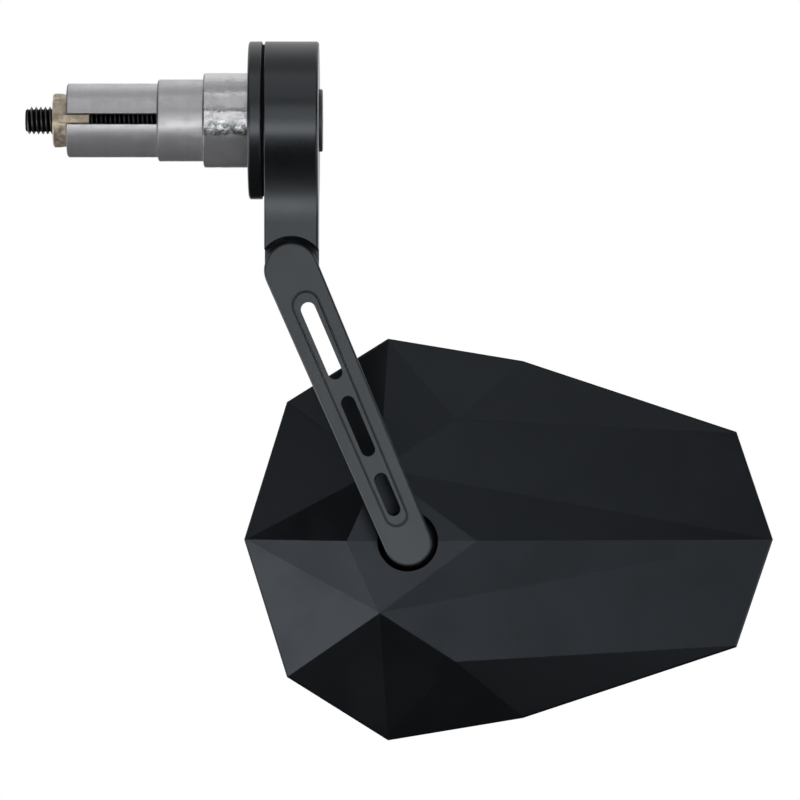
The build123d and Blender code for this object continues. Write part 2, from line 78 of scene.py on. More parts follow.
# The clamp bolt and its thread
bolt_shank_r = 0.003
bolt_head_length = 0.006
bolt_tip_chamfer = 0.0008
bolt_head_edge = 0.0003
bolt_key_width = 0.005
bolt_key_depth = 0.003
bolt_facets = 48
bolt_sharp_angle = 25
thread_pitch = 0.001
thread_depth = 0.00061
thread_crest_share = 0.0625
thread_root_share = 0.4
thread_end = -0.0128
thread_runout = 0.0015
# Radii over which the thread goes from painted shade in its roots to a painted highlight on its crests.
crest_highlight_from_r = 0.00242
crest_highlight_to_r = 0.00285
merge_distance = 1e-7

# Painted shade strip on the outer ring, standing in for a dark band of its reflection: heights of its soft
# edges, and how far it reaches round the front
shade_strip_top_full, shade_strip_top_clear = -0.0013, -0.0004
shade_strip_foot_clear, shade_strip_foot_full = -0.0040, -0.0034
shade_strip_front, shade_strip_side = -0.006, -0.002
shade_strip_waver = 0.0012
shade_strip_colour = (0.15, 0.165, 0.165)

# Painted shade on the turned rings' worn edges and chamfers, which keeps them from showing highlights: how
# dense, and how far along the bar axis their chamfers and end faces look
painted_edge_shade_colour = (0.17, 0.17, 0.18)
edge_shade_share = 0.85
chamfer_shade_share = 0.9
chamfer_from, chamfer_to = 0.25, 0.60
end_face_from, end_face_to = 0.80, 0.92

# Range in which most values of a noise lie, and how the wear of edges follows one
noise_low, noise_high = 0.3, 0.7
wear_noise_low, wear_noise_high = 0.35, 0.65
least_wear = 0.25


# Node helpers
def add_node(tree, kind, values=None, **settings):
    """New node with its plain input values and its settings."""
    node = tree.nodes.new(kind)
    for name, value in settings.items():
        setattr(node, name, value)
    for name, value in (values or {}).items():
        node.inputs[name].default_value = value
    return node


def set_or_link(tree, value, socket):
    """Gives an input socket its number, or links it to another socket."""
    if isinstance(value, bpy.types.NodeSocket):
        tree.links.new(value, socket)
    else:
        socket.default_value = value


def math_node(tree, operation, first, second):
    """Output of a math node whose two inputs are sockets or numbers."""
    node = add_node(tree, "ShaderNodeMath", operation=operation)
    set_or_link(tree, first, node.inputs[0])
    set_or_link(tree, second, node.inputs[1])
    return node.outputs[0]


def map_range(tree, value, low, high, new_low, new_high):
    """The value's range from low to high, spread smoothly over the new range."""
    node = add_node(tree, "ShaderNodeMapRange", interpolation_type="SMOOTHSTEP")
    limits = {"Value": value, "From Min": low, "From Max": high, "To Min": new_low, "To Max": new_high}
    for name, limit in limits.items():
        set_or_link(tree, limit, node.inputs[name])
    return node.outputs["Result"]


def rising(tree, value, low, high):
    """Mask that goes smoothly from 0 at the low value to 1 at the high one."""
    return map_range(tree, value, low, high, 0.0, 1.0)


def falling(tree, value, low, high):
    """Mask that goes smoothly from 1 at the low value to 0 at the high one."""
    return map_range(tree, value, low, high, 1.0, 0.0)


def by_mask(tree, mask, first, second):
    """Number that goes from the first to the second as the mask goes from 0 to 1."""
    return map_range(tree, mask, 0.0, 1.0, first, second)


def by_noise(tree, noise, first, second):
    """Number that goes from the first to the second over the usual range of a noise."""
    return map_range(tree, noise, noise_low, noise_high, first, second)


def mix_colour(tree, mask, first, second):
    """Colour that goes from the first to the second by the mask; each is a colour or a socket."""
    node = add_node(tree, "ShaderNodeMix", data_type="RGBA")
    tree.links.new(mask, node.inputs["Factor"])
    for name, value in (("A", first), ("B", second)):
        socket = next(s for s in node.inputs if s.name == name and s.type == "RGBA")
        is_link = isinstance(value, bpy.types.NodeSocket)
        set_or_link(tree, value if is_link else (*value, 1.0), socket)
    return next(s for s in node.outputs if s.type == "RGBA")


def lay_over(tree, under, mask, share, over):
    """Colour with another one laid over it by the mask, as densely as the share says at most."""
    return mix_colour(tree, math_node(tree, "MULTIPLY", mask, share), under, over)


def separate_axes(tree, coordinate):
    """The X, Y and Z outputs of a texture coordinate."""
    place = add_node(tree, "ShaderNodeTexCoord")
    axes = add_node(tree, "ShaderNodeSeparateXYZ")
    tree.links.new(place.outputs[coordinate], axes.inputs[0])
    return axes.outputs


def new_group(name, inputs, outputs):
    """Empty node group with number inputs, and outputs that are numbers or normals."""
    group = bpy.data.node_groups.new(name, "ShaderNodeTree")
    for socket, default in inputs.items():
        made = group.interface.new_socket(socket, in_out="INPUT", socket_type="NodeSocketFloat")
        made.default_value = default
    for socket, kind in outputs.items():
        group.interface.new_socket(socket, in_out="OUTPUT", socket_type=kind)
    return group, group.nodes.new("NodeGroupInput"), group.nodes.new("NodeGroupOutput")


def scaled_place(group, size_socket):
    """Place on the surface divided by a size, so that one unit is that size."""
    place = add_node(group, "ShaderNodeTexCoord")
    share = math_node(group, "DIVIDE", 1.0, size_socket)
    scale = add_node(group, "ShaderNodeVectorMath", operation="SCALE")
    group.links.new(place.outputs["Object"], scale.inputs[0])
    group.links.new(share, scale.inputs["Scale"])
    return scale.outputs[0]


def scaled_noise(group, size_socket, **values):
    """Noise whose grains are as large as the size, with its values given in plain words."""
    noise = add_node(group, "ShaderNodeTexNoise", {"Scale": 1.0})
    for name, value in values.items():
        noise.inputs[name.title()].default_value = value
    group.links.new(scaled_place(group, size_socket), noise.inputs["Vector"])
    return noise.outputs["Fac"]


# Effects that several finishes share
def surface_grain_group():
    """Fine even grain of a blasted or moulded surface, and slow changes of its tone."""
    group, given, made = new_group(
        "surface grain", {"Grain Size": 0.0002, "Patch Size": 0.012},
        {"Height": "NodeSocketFloat", "Tone": "NodeSocketFloat"},
    )
    fine = scaled_noise(group, given.outputs["Grain Size"], detail=2.0, roughness=0.6)
    slow = scaled_noise(group, given.outputs["Patch Size"], detail=3.0, roughness=0.5)
    group.links.new(fine, made.inputs["Height"])
    group.links.new(slow, made.inputs["Tone"])
    return group


def edge_wear_group():
    """Soft rounding of crisp edges, and a broken mask along them."""
    group, given, made = new_group(
        "edge wear", {"Radius": 0.0002, "Start": 0.01, "Full": 0.12, "Patch Size": 0.002},
        {"Mask": "NodeSocketFloat", "Normal": "NodeSocketVector"},
    )
    rounded = add_node(group, "ShaderNodeBevel", samples=6)
    group.links.new(given.outputs["Radius"], rounded.inputs["Radius"])
    plain = add_node(group, "ShaderNodeNewGeometry")
    turn = add_node(group, "ShaderNodeVectorMath", operation="DOT_PRODUCT")
    group.links.new(rounded.outputs["Normal"], turn.inputs[0])
    group.links.new(plain.outputs["Normal"], turn.inputs[1])
    bend = math_node(group, "SUBTRACT", 1.0, turn.outputs["Value"])
    edge = rising(group, bend, given.outputs["Start"], given.outputs["Full"])
    patches = scaled_noise(group, given.outputs["Patch Size"], detail=3.0, roughness=0.65)
    broken = map_range(group, patches, wear_noise_low, wear_noise_high, least_wear, 1.0)
    group.links.new(math_node(group, "MULTIPLY", edge, broken), made.inputs["Mask"])
    group.links.new(rounded.outputs["Normal"], made.inputs["Normal"])
    return group


def turned_lines_group():
    """Lathe marks round the bar axis: fine grooves and wider bands of tone."""
    group, given, made = new_group(
        "turned lines", {"Line Width": 0.00012, "Band Width": 0.0015, "Waver": 0.00003},
        {"Height": "NodeSocketFloat", "Tone": "NodeSocketFloat"},
    )
    place = add_node(group, "ShaderNodeTexCoord")
    axis = add_node(group, "ShaderNodeSeparateXYZ")
    group.links.new(place.outputs["Object"], axis.inputs[0])
    drift = add_node(group, "ShaderNodeTexNoise", {"Scale": 180.0, "Detail": 2.0})
    group.links.new(place.outputs["Object"], drift.inputs["Vector"])
    waver = math_node(group, "MULTIPLY", drift.outputs["Fac"], given.outputs["Waver"])
    along = math_node(group, "ADD", axis.outputs["X"], waver)
    for width, output in (("Line Width", "Height"), ("Band Width", "Tone")):
        lines = add_node(
            group, "ShaderNodeTexNoise", {"Scale": 1.0, "Detail": 2.0, "Roughness": 0.6},
            noise_dimensions="1D",
        )
        group.links.new(math_node(group, "DIVIDE", along, given.outputs[width]), lines.inputs["W"])
        group.links.new(lines.outputs["Fac"], made.inputs[output])
    return group


def blotches_group():
    """Uneven patches, as plating, handling or rubbing leaves them."""
    group, given, made = new_group(
        "blotches", {"Size": 0.002, "Start": 0.45, "Full": 0.6}, {"Mask": "NodeSocketFloat"},
    )
    patches = scaled_noise(group, given.outputs["Size"], detail=5.0, roughness=0.62, distortion=0.4)
    mask = rising(group, patches, given.outputs["Start"], given.outputs["Full"])
    group.links.new(mask, made.inputs["Mask"])
    return group


def gap_shade_group():
    """Painted shade in narrow gaps, darker where ambient occlusion closes in: 1 deep inside, 0 on open
    surfaces.
    """
    group, given, made = new_group(
        "gap_shade", {"Reach": 0.004, "Closed": 0.30, "Open": 0.60}, {"Mask": "NodeSocketFloat"},
    )
    openness = add_node(group, "ShaderNodeAmbientOcclusion", samples=8)
    group.links.new(given.outputs["Reach"], openness.inputs["Distance"])
    mask = falling(group, openness.outputs["AO"], given.outputs["Closed"], given.outputs["Open"])
    group.links.new(mask, made.inputs["Mask"])
    return group


surface_grain = surface_grain_group()
edge_wear = edge_wear_group()
turned_lines = turned_lines_group()
blotches = blotches_group()
gap_shade = gap_shade_group()


def use_group(tree, group, **values):
    """Outputs of a node group placed in a material, with its values given in plain words."""
    node = tree.nodes.new("ShaderNodeGroup")
    node.node_tree = group
    for name, value in values.items():
        node.inputs[name.replace("_", " ").title()].default_value = value
    return node.outputs


# Materials
def new_material(name, colour, roughness, metallic=0.0, ior=1.5, gloss_tint=white):
    """Material with its shader's plain values; returns the material, its tree and the shader."""
    material = bpy.data.materials.new(name)
    material.use_nodes = True
    tree = material.node_tree
    shader = tree.nodes["Principled BSDF"]
    shader.inputs["Base Color"].default_value = (*colour, 1.0)
    shader.inputs["Roughness"].default_value = roughness
    shader.inputs["Metallic"].default_value = metallic
    shader.inputs["IOR"].default_value = ior
    shader.inputs["Specular Tint"].default_value = (*gloss_tint, 1.0)
    return material, tree, shader


def bump(tree, shader, height, depth, strength, normal=None):
    """Bump from a height socket, on top of another normal where there is one."""
    node = add_node(tree, "ShaderNodeBump", {"Distance": depth, "Strength": strength})
    tree.links.new(height, node.inputs["Height"])
    if normal is not None:
        tree.links.new(normal, node.inputs["Normal"])
    tree.links.new(node.outputs["Normal"], shader.inputs["Normal"])


def paint(tree, shader, colour, roughness):
    """Links the colour and the roughness of a surface to its shader."""
    tree.links.new(colour, shader.inputs["Base Color"])
    tree.links.new(roughness, shader.inputs["Roughness"])


def black_oxide_steel():
    """Blackened steel, a little oily, with bare metal on worn crests."""
    material, tree, shader = new_material("black oxide steel", (0.014, 0.014, 0.015), 0.36, metallic=0.3)
    grain = use_group(tree, surface_grain, grain_size=0.00012, patch_size=0.003)
    wear = use_group(tree, edge_wear, radius=0.00008, start=0.05, full=0.5, patch_size=0.0012)
    tone = mix_colour(tree, grain["Tone"], (0.010, 0.010, 0.011), (0.020, 0.020, 0.022))
    worn = lay_over(tree, tone, wear["Mask"], 0.45, (0.22, 0.21, 0.20))
    paint(tree, shader, worn, by_noise(tree, grain["Tone"], 0.28, 0.42))
    bump(tree, shader, grain["Height"], depth=0.000008, strength=0.5, normal=wear["Normal"])
    return material


def thread_steel_with_painted_light():
    """Blackened steel of the threaded bolt, with painted shade in the thread's roots and painted highlights
    on its crests.
    """
    material, tree, shader = new_material("black thread with painted light", (0.020, 0.020, 0.021), 0.36, metallic=1.0)
    grain = use_group(tree, surface_grain, grain_size=0.00012, patch_size=0.003)
    wear = use_group(tree, edge_wear, radius=0.00006, start=0.05, full=0.5, patch_size=0.0012)
    place = add_node(tree, "ShaderNodeTexCoord")
    across = add_node(tree, "ShaderNodeVectorMath", {1: (0.0, 1.0, 1.0)}, operation="MULTIPLY")
    tree.links.new(place.outputs["Object"], across.inputs[0])
    reach = add_node(tree, "ShaderNodeVectorMath", operation="LENGTH")
    tree.links.new(across.outputs[0], reach.inputs[0])
    # Painted highlight on the crests and painted shade in the roots, by distance from the axis.
    crest = rising(tree, reach.outputs["Value"], crest_highlight_from_r, crest_highlight_to_r)
    tone = mix_colour(tree, grain["Tone"], (0.16, 0.16, 0.165), (0.23, 0.23, 0.235))
    rubbed_and_painted_light = mix_colour(tree, crest, (0.003, 0.003, 0.003), tone)
    worn = lay_over(tree, rubbed_and_painted_light, wear["Mask"], 0.15, (0.35, 0.35, 0.35))
    paint(tree, shader, worn, by_mask(tree, crest, 0.60, 0.38))
    bump(tree, shader, grain["Height"], depth=0.000006, strength=0.4, normal=wear["Normal"])
    return material


def yellow_zinc_plate():
    """Passivated zinc plating: straw yellow going to pink and grey in uneven patches."""
    material, tree, shader = new_material("yellow zinc plate", (0.66, 0.56, 0.42), 0.42, metallic=0.75)
    grain = use_group(tree, surface_grain, grain_size=0.00016, patch_size=0.0035)
    pale = use_group(tree, blotches, size=0.0013, start=0.44, full=0.56)
    dull = use_group(tree, blotches, size=0.0030, start=0.48, full=0.58)
    wear = use_group(tree, edge_wear, radius=0.00012, start=0.03, full=0.3, patch_size=0.0015)
    straw = mix_colour(tree, grain["Tone"], (0.58, 0.49, 0.34), (0.80, 0.70, 0.53))
    pinkish = mix_colour(tree, pale["Mask"], straw, (0.92, 0.76, 0.66))
    greyed = lay_over(tree, pinkish, dull["Mask"], 0.5, (0.33, 0.29, 0.20))
    bared = lay_over(tree, greyed, wear["Mask"], 0.4, (0.70, 0.66, 0.60))
    paint(tree, shader, bared, by_mask(tree, pale["Mask"], 0.36, 0.52))
    bump(tree, shader, grain["Height"], depth=0.00002, strength=0.6, normal=wear["Normal"])
    return material


def chamfers(tree):
    """Painted shade on the chamfers of a turned piece: 0 on its round side and on its end faces."""
    along = math_node(tree, "ABSOLUTE", separate_axes(tree, "Normal")["X"], 0.0)
    sloping = map_range(tree, along, chamfer_from, chamfer_to, 0.0, chamfer_shade_share)
    return math_node(tree, "MULTIPLY", sloping, falling(tree, along, end_face_from, end_face_to))


def with_shaded_edges(tree, colour, wear):
    """Colour of turned metal with painted shade on its worn edges and its chamfers."""
    edges = math_node(tree, "MULTIPLY", wear["Mask"], edge_shade_share)
    return mix_colour(tree, math_node(tree, "MAXIMUM", edges, chamfers(tree)), colour, painted_edge_shade_colour)


def bare_aluminium():
    """Turned aluminium without a finish: fine rings, dull patches, and painted shade on its edges and
    chamfers.
    """
    material, tree, shader = new_material("bare turned aluminium", (0.82, 0.82, 0.85), 0.36, metallic=0.80)
    lines = use_group(tree, turned_lines, line_width=0.00010, band_width=0.0020)
    dull = use_group(tree, blotches, size=0.0026, start=0.44, full=0.64)
    wear = use_group(tree, edge_wear, radius=0.00030, start=0.005, full=0.06, patch_size=0.002)
    tone = mix_colour(tree, lines["Tone"], (0.77, 0.77, 0.80), (0.86, 0.86, 0.89))
    greyed = lay_over(tree, tone, dull["Mask"], 0.30, (0.66, 0.66, 0.69))
    # Painted shade on the edges and chamfers.
    paint(tree, shader, with_shaded_edges(tree, greyed, wear), by_mask(tree, dull["Mask"], 0.36, 0.44))
    bump(tree, shader, lines["Height"], depth=0.000006, strength=0.5, normal=wear["Normal"])
    return material


def painted_shade_strip(tree, unevenness):
    """Mottled painted shade strip along the front of the outer ring, just under its middle, with ragged
    edges; it stands in for a dark band of reflection.
    """
    place = separate_axes(tree, "Object")
    ragged = math_node(tree, "MULTIPLY", math_node(tree, "SUBTRACT", unevenness, 0.5), shade_strip_waver)
    height = math_node(tree, "ADD", place["Z"], ragged)
    top = falling(tree, height, shade_strip_top_full, shade_strip_top_clear)
    foot = rising(tree, height, shade_strip_foot_clear, shade_strip_foot_full)
    front = falling(tree, place["Y"], shade_strip_front, shade_strip_side)
    spots = use_group(tree, blotches, size=0.0009, start=0.42, full=0.60)
    mottled = by_mask(tree, spots["Mask"], 0.55, 1.0)
    strip = math_node(tree, "MULTIPLY", math_node(tree, "MULTIPLY", top, foot), front)
    return math_node(tree, "MULTIPLY", strip, mottled)


def scuffed_aluminium():
    """Brighter turned aluminium of the outer ring, scuffed by fitting, with a painted shade strip across
    its front and painted shade on its edges and chamfers.
    """
    material, tree, shader = new_material(
        "scuffed turned aluminium", (0.90, 0.90, 0.93), 0.20, metallic=0.79,
    )
    lines = use_group(tree, turned_lines, line_width=0.00016, band_width=0.0012)
    uneven = use_group(tree, surface_grain, grain_size=0.0004, patch_size=0.0018)
    scuffs = use_group(tree, blotches, size=0.0030, start=0.46, full=0.62)
    wear = use_group(tree, edge_wear, radius=0.00030, start=0.005, full=0.06, patch_size=0.002)
    tone = mix_colour(tree, lines["Tone"], (0.86, 0.86, 0.89), (0.94, 0.94, 0.97))
    scuffed = lay_over(tree, tone, scuffs["Mask"], 0.35, (0.60, 0.60, 0.62))
    # Painted shade strip across the front of the ring.
    shade_striped = mix_colour(tree, painted_shade_strip(tree, uneven["Tone"]), scuffed, shade_strip_colour)
    # Painted shade on the edges and chamfers.
    paint(tree, shader, with_shaded_edges(tree, shade_striped, wear), by_mask(tree, scuffs["Mask"], 0.18, 0.25))
    bump(tree, shader, uneven["Tone"], depth=0.00014, strength=0.7, normal=wear["Normal"])
    return material


def black_anodised():
    """Satin black anodising of the flange and the head, with painted shade, darker and rougher, in the gap
    between them.
    """
    material, tree, shader = new_material(
        "black anodised", (0.0050, 0.0055, 0.0062), 0.29, ior=1.87, gloss_tint=(0.86, 0.93, 1.0),
    )
    grain = use_group(tree, surface_grain, grain_size=0.00014, patch_size=0.010)
    wear = use_group(tree, edge_wear, radius=0.00020, start=0.02, full=0.30, patch_size=0.003)
    # Painted shade: the gaps between the parts are darkened and made rougher by ambient occlusion.
    painted_gap_shade = use_group(tree, gap_shade, reach=0.004, closed=0.30, open=0.60)
    tone = mix_colour(tree, grain["Tone"], (0.0038, 0.0044, 0.0054), (0.0062, 0.0068, 0.0080))
    worn = lay_over(tree, tone, wear["Mask"], 0.12, (0.18, 0.18, 0.19))
    colour = mix_colour(tree, painted_gap_shade["Mask"], worn, (0.002, 0.002, 0.002))
    satin = by_noise(tree, grain["Tone"], 0.27, 0.32)
    paint(tree, shader, colour, math_node(tree, "MAXIMUM", satin, painted_gap_shade["Mask"]))
    bump(tree, shader, grain["Height"], depth=0.000006, strength=0.35, normal=wear["Normal"])
    return material


def cap_anodised():
    """The cap's anodising, greyer than the head's."""
    material, tree, shader = new_material(
        "grey anodised cap", (0.060, 0.062, 0.066), 0.42, ior=1.8, gloss_tint=(0.92, 0.96, 1.0),
    )
    grain = use_group(tree, surface_grain, grain_size=0.00014, patch_size=0.004)
    wear = use_group(tree, edge_wear, radius=0.00015, start=0.02, full=0.30, patch_size=0.002)
    tone = mix_colour(tree, grain["Tone"], (0.050, 0.052, 0.056), (0.070, 0.072, 0.076))
    worn = lay_over(tree, tone, wear["Mask"], 0.15, (0.22, 0.22, 0.23))
    paint(tree, shader, worn, by_noise(tree, grain["Tone"], 0.38, 0.46))
    bump(tree, shader, grain["Height"], depth=0.000008, strength=0.4, normal=wear["Normal"])
    return material


def blasted_anodised():
    """Fine blasted, anodised surface of the arm and its inlay."""
    material, tree, shader = new_material(
        "blasted anodised", (0.032, 0.035, 0.038), 0.36, ior=1.8, gloss_tint=(0.86, 0.94, 1.0),
    )
    grain = use_group(tree, surface_grain, grain_size=0.00018, patch_size=0.014)
    wear = use_group(tree, edge_wear, radius=0.00018, start=0.02, full=0.30, patch_size=0.003)
    tone = mix_colour(tree, grain["Tone"], (0.028, 0.031, 0.034), (0.036, 0.039, 0.042))
    worn = lay_over(tree, tone, wear["Mask"], 0.15, (0.20, 0.20, 0.21))
    paint(tree, shader, worn, by_noise(tree, grain["Tone"], 0.34, 0.39))
    bump(tree, shader, grain["Height"], depth=0.000010, strength=0.5, normal=wear["Normal"])
    return material


def zinc_plated_steel():
    """Grey zinc plating on the pressed plate, the ball stud and the wave washer."""
    material, tree, shader = new_material("zinc plated steel", (0.50, 0.51, 0.53), 0.30, metallic=1.0)
    grain = use_group(tree, surface_grain, grain_size=0.00015, patch_size=0.004)
    dull = use_group(tree, blotches, size=0.0030, start=0.45, full=0.62)
    wear = use_group(tree, edge_wear, radius=0.00015, start=0.03, full=0.30, patch_size=0.002)
    tone = mix_colour(tree, dull["Mask"], (0.52, 0.53, 0.55), (0.42, 0.43, 0.44))
    rubbed_and_painted_light = lay_over(tree, tone, wear["Mask"], 0.4, (0.72, 0.72, 0.74))
    paint(tree, shader, rubbed_and_painted_light, by_mask(tree, dull["Mask"], 0.26, 0.40))
    bump(tree, shader, grain["Height"], depth=0.000008, strength=0.4, normal=wear["Normal"])
    return material


def black_rubber():
    """Matt black rubber of the friction washer."""
    material, tree, shader = new_material("black rubber", (0.003, 0.003, 0.003), 0.75, ior=1.25)
    grain = use_group(tree, surface_grain, grain_size=0.00025, patch_size=0.004)
    tone = mix_colour(tree, grain["Tone"], (0.002, 0.002, 0.002), (0.004, 0.004, 0.004))
    paint(tree, shader, tone, by_noise(tree, grain["Tone"], 0.68, 0.82))
    bump(tree, shader, grain["Height"], depth=0.00002, strength=0.6)
    return material


def moulded_plastic():
    """Matt black plastic of the ball's seats and the inner plates."""
    material, tree, shader = new_material("moulded black plastic", (0.010, 0.010, 0.011), 0.42)
    grain = use_group(tree, surface_grain, grain_size=0.00022, patch_size=0.006)
    wear = use_group(tree, edge_wear, radius=0.00015, start=0.02, full=0.30, patch_size=0.002)
    tone = mix_colour(tree, grain["Tone"], (0.004, 0.004, 0.005), (0.008, 0.008, 0.009))
    worn = lay_over(tree, tone, wear["Mask"], 0.08, (0.10, 0.10, 0.10))
    paint(tree, shader, worn, by_noise(tree, grain["Tone"], 0.38, 0.48))
    bump(tree, shader, grain["Height"], depth=0.000012, strength=0.5, normal=wear["Normal"])
    return material


def shell_plastic():
    """Satin black shell: smooth facets with a faint moulded grain and slow changes of gloss."""
    material, tree, shader = new_material(
        "satin black shell", (0.0060, 0.0068, 0.0085), 0.30, gloss_tint=(0.78, 0.88, 1.0),
    )
    grain = use_group(tree, surface_grain, grain_size=0.00030, patch_size=0.022)
    smears = use_group(tree, blotches, size=0.020, start=0.40, full=0.70)
    wear = use_group(tree, edge_wear, radius=0.00022, start=0.01, full=0.25, patch_size=0.004)
    tone = mix_colour(tree, grain["Tone"], (0.0052, 0.0060, 0.0075), (0.0068, 0.0076, 0.0095))
    worn = lay_over(tree, tone, wear["Mask"], 0.10, (0.09, 0.09, 0.09))
    paint(tree, shader, worn, by_mask(tree, smears["Mask"], 0.28, 0.34))
    bump(tree, shader, grain["Height"], depth=0.000005, strength=0.35, normal=wear["Normal"])
    return material


def black_foam():
    """Dense black foam of the pad, with open pores on its cut edge."""
    material, tree, shader = new_material("black foam", (0.020, 0.020, 0.020), 0.9)
    pores = add_node(tree, "ShaderNodeTexVoronoi", {"Scale": 3500.0})
    place = add_node(tree, "ShaderNodeTexCoord")
    tree.links.new(place.outputs["Object"], pores.inputs["Vector"])
    tone = mix_colour(tree, pores.outputs["Distance"], (0.008, 0.008, 0.008), (0.035, 0.035, 0.035))
    tree.links.new(tone, shader.inputs["Base Color"])
    bump(tree, shader, pores.outputs["Distance"], depth=0.00008, strength=0.7)
    return material


def silvered_glass():
    """Mirror glass: bright and even in front, with a ground grey-green edge."""
    material, tree, shader = new_material("silvered glass", (0.86, 0.88, 0.89), 0.03, metallic=1.0)
    edge = falling(tree, separate_axes(tree, "Normal")["Y"], 0.6, 0.9)
    smears = use_group(tree, blotches, size=0.015, start=0.40, full=0.75)
    grain = use_group(tree, surface_grain, grain_size=0.00015, patch_size=0.006)
    rough = add_node(tree, "ShaderNodeMix", data_type="FLOAT")
    tree.links.new(edge, rough.inputs["Factor"])
    tree.links.new(by_mask(tree, smears["Mask"], 0.02, 0.05), rough.inputs["A"])
    tree.links.new(by_noise(tree, grain["Tone"], 0.45, 0.60), rough.inputs["B"])
    silver = mix_colour(tree, smears["Mask"], (0.86, 0.88, 0.89), (0.83, 0.85, 0.86))
    colour = mix_colour(tree, edge, silver, (0.10, 0.13, 0.12))
    paint(tree, shader, colour, rough.outputs["Result"])
    tree.links.new(math_node(tree, "SUBTRACT", 1.0, edge), shader.inputs["Metallic"])
    return material


finishes = {
    "black_steel": black_oxide_steel(),
    "yellow_zinc": yellow_zinc_plate(),
    "bare_aluminium": bare_aluminium(),
    "turned_aluminium": scuffed_aluminium(),
    "black_anodised": black_anodised(),
    "grey_anodised": blasted_anodised(),
    "spring_steel": zinc_plated_steel(),
    "black_rubber": black_rubber(),
    "black_plastic": moulded_plastic(),
    "shell_black": shell_plastic(),
    "pad_foam": black_foam(),
    "mirror_glass": silvered_glass(),
}
own_finishes = {"end_cap": cap_anodised()}


def dress_cad_nodes():
    """Each CAD node gets its own finish, or else the finish of its material slot."""
    for part in frame["record"]["subparts"]:
        finish = own_finishes.get(part["node"], finishes[part["material_slot"]])
        for place in frame["nodes"][part["node"]].material_slots:
            place.material = finish


# The threaded bolt
def thread_radius(turn_share):
    """Radius of the thread at a share of its pitch: narrow crest, straight flanks, wider root."""
    share = turn_share % 1.0
    share = min(share, 1.0 - share)
    if share <= thread_crest_share:
        return bolt_shank_r
    down_the_flank = (share - thread_crest_share) / (thread_root_share - thread_crest_share)
    return bolt_shank_r - thread_depth * min(down_the_flank, 1.0)


def key_radius(angle):
    """Distance from the axis to the side of the key's hexagon, in a direction."""
    sector = (angle + pi / 6) % (pi / 3) - pi / 6
    return bolt_key_width / 2 / cos(sector)


def ring_vertex(mesh, x, radius, step):
    """Vertex at a step round the bolt's axis."""
    angle = 2 * pi * step / bolt_facets
    return mesh.verts.new((x, radius * cos(angle), radius * sin(angle)))


def thread_line(mesh, tip, row):
    """One line along the thread, wound once round the bolt and cut off at both ends of the thread."""
    line = []
    for step in range(bolt_facets + 1):
        x = tip + thread_pitch * (row + step / bolt_facets)
        fade = min(max((thread_end - x) / thread_runout, 0.0), 1.0)
        radius = bolt_shank_r - fade * (bolt_shank_r - thread_radius(row))
        x = min(max(x, tip), thread_end)
        radius = min(radius, bolt_shank_r - bolt_tip_chamfer + (x - tip))
        line.append(ring_vertex(mesh, x, radius, step))
    return line


def cut_thread(mesh, tip):
    """The thread's surface, from lines that follow its crest and root."""
    crest, root = thread_crest_share, thread_root_share
    turns = int((thread_end - tip) / thread_pitch) + 3
    rows = [turn + share for turn in range(-1, turns) for share in (-0.5, -root, -crest, crest, root)]
    lines = [thread_line(mesh, tip, row) for row in rows]
    for lower, upper in zip(lines, lines[1:]):
        for step in range(bolt_facets):
            mesh.faces.new((lower[step], lower[step + 1], upper[step + 1], upper[step]))


def plain_shank_and_head(mesh, head_end, head_r):
    """The plain shank, the round head and the floor and sides of its key hole, from ring to ring."""
    seat_x = head_end - bolt_head_length
    outline = [
        (thread_end, lambda angle: bolt_shank_r),
        (seat_x, lambda angle: bolt_shank_r),
        (seat_x, lambda angle: head_r),
        (head_end - bolt_head_edge, lambda angle: head_r),
        (head_end, lambda angle: head_r - bolt_head_edge),
        (head_end, key_radius),
        (head_end - bolt_key_depth, key_radius),
    ]
    last = None
    for x, radius_at in outline:
        ring = []
        for step in range(bolt_facets):
            ring.append(ring_vertex(mesh, x, radius_at(2 * pi * step / bolt_facets), step))
        if last:
            for step in range(bolt_facets):
                after = (step + 1) % bolt_facets
                mesh.faces.new((last[step], last[after], ring[after], ring[step]))
        last = ring
    mesh.faces.new(last)


def threaded_bolt():
    """The clamp bolt with its cut thread, socket head and key hole."""
    low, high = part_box("clamp_bolt")
    mesh = bmesh.new()
    cut_thread(mesh, low.x)
    bmesh.ops.remove_doubles(mesh, verts=mesh.verts, dist=merge_distance)
    plain_shank_and_head(mesh, high.x, high.z)
    bmesh.ops.remove_doubles(mesh, verts=mesh.verts, dist=merge_distance)
    tip_edges = [edge for edge in mesh.edges if edge.is_boundary]
    bmesh.ops.holes_fill(mesh, edges=tip_edges, sides=0)
    bmesh.ops.recalc_face_normals(mesh, faces=mesh.faces)
    data = bpy.data.meshes.new("threaded_bolt")
    mesh.to_mesh(data)
    mesh.free()
    data.shade_smooth()
    data.set_sharp_from_angle(angle=radians(bolt_sharp_angle))
    bolt = bpy.data.objects.new("threaded_bolt", data)
    bpy.context.scene.collection.objects.link(bolt)
    data.materials.append(thread_steel_with_painted_light())
    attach(bolt, "clamp_screw")
    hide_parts("clamp_bolt")


# Lights
def toward(azimuth, elevation, distance):
    """Place seen from the object in a direction; azimuth 0 is the camera's side, positive to the right."""
    a, e = radians(azimuth), radians(elevation)
    way = Vector((sin(a) * cos(e), -cos(a) * cos(e), sin(e)))
    return picture_middle + distance * way


